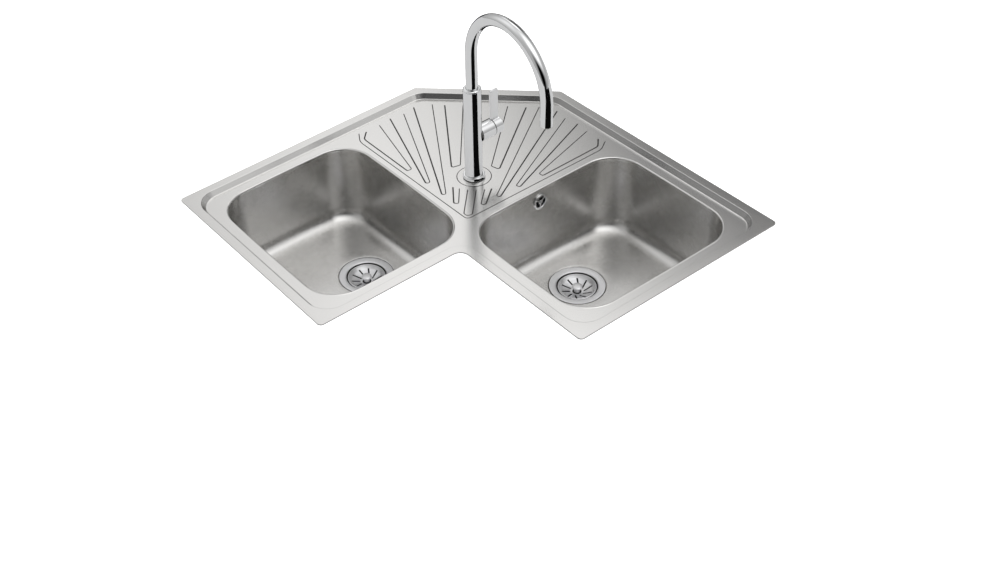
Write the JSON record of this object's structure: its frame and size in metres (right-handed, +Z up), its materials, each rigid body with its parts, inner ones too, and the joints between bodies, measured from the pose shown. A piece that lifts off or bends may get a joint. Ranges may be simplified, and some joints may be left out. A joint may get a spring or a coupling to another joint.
{
  "type": "corner kitchen sink",
  "caption": "L-shaped inset corner sink of pressed steel with deep bowls, fanned drainer, strainer wastes, overflow and a side-lever swan-neck mixer tap.",
  "frame": {"origin": "on the worktop's surface, under the rim's seal at the middle of the back chamfer", "axes": "+Z up; +X along the wall beside the left bowl, away from the room's corner; +Y along the wall beside the right bowl, away from the room's corner"},
  "size_m": [0.83, 0.83, 0.6869],
  "materials": {
    "brushed_sheet": "satin pressed stainless sheet",
    "polished_steel": "polished stainless steel",
    "chrome": "bright chrome plate",
    "rubber": "black rubber",
    "foam": "dark sealing foam",
    "dark_plastic": "black moulded plastic",
    "white_plastic": "white moulded plastic",
    "brass": "plain brass",
    "zinc_steel": "zinc-plated steel"
  },
  "bodies": {
    "sink": {"deck_panel": "brushed_sheet", "bowl_right": "brushed_sheet", "bowl_left": "brushed_sheet", "waste_flange_right": "polished_steel", "waste_flange_left": "polished_steel", "overflow_rosette": "chrome", "tap_cover_ring": "chrome", "tap_body": "chrome", "spout_collar": "chrome", "flange_seal_right": "rubber", "flange_seal_left": "rubber", "body_gasket_right": "rubber", "body_gasket_left": "rubber", "overflow_gasket": "rubber", "tap_gasket": "rubber", "spout_seal": "rubber", "rim_seal": "foam", "waste_body_right": "dark_plastic", "waste_body_left": "dark_plastic", "outlet_nut_right": "dark_plastic", "outlet_nut_left": "dark_plastic", "overflow_elbow": "dark_plastic", "overflow_pipe": "dark_plastic", "cartridge_body": "white_plastic", "cartridge_nut": "brass", "clamp_nut": "brass", "inlet_tail_cold": "brass", "inlet_tail_hot": "brass", "waste_screw_right": "zinc_steel", "waste_screw_left": "zinc_steel", "overflow_screw": "zinc_steel", "clamp_washer": "zinc_steel", "clamp_stud": "zinc_steel", "clip_arm_1": "zinc_steel", "clip_screw_1": "zinc_steel", "clip_arm_2": "zinc_steel", "clip_screw_2": "zinc_steel", "clip_arm_3": "zinc_steel", "clip_screw_3": "zinc_steel", "clip_arm_4": "zinc_steel", "clip_screw_4": "zinc_steel", "clip_arm_5": "zinc_steel", "clip_screw_5": "zinc_steel", "clip_arm_6": "zinc_steel", "clip_screw_6": "zinc_steel"},
    "spout": {"spout": "chrome", "aerator_shell": "chrome", "aerator_insert": "white_plastic"},
    "carrier": {"cartridge_carrier": "white_plastic", "lever_pin": "zinc_steel"},
    "lever": {"lever_stem": "brass", "lever_cap": "chrome", "lever_blade": "chrome", "lever_set_screw": "zinc_steel"},
    "basket_right": {"basket_right": "polished_steel", "basket_knob_right": "polished_steel", "basket_stopper_right": "rubber"},
    "basket_left": {"basket_left": "polished_steel", "basket_knob_left": "polished_steel", "basket_stopper_left": "rubber"}
  },
  "joints": [
    {"name": "spout_swivel", "type": "hinge", "parent": "sink", "child": "spout", "pos_m": [0.207, 0.207, 0], "axis": [0, 0, 1], "range_deg": [-120, 35]},
    {"name": "lever_turn", "type": "hinge", "parent": "sink", "child": "carrier", "pos_m": [0.207, 0.207, 0.0905], "axis": [-1, 0, 0], "range_deg": [-50, 50]},
    {"name": "lever_tilt", "type": "hinge", "parent": "carrier", "child": "lever", "pos_m": [0.17125, 0.207, 0.0905], "axis": [0, -1, 0], "range_deg": [0, 20]},
    {"name": "basket_lift_right", "type": "slide", "parent": "sink", "child": "basket_right", "axis": [0, 0, 1], "range_m": [0, 0.05]},
    {"name": "basket_lift_left", "type": "slide", "parent": "sink", "child": "basket_left", "axis": [0, 0, 1], "range_m": [0, 0.05]}
  ]
}
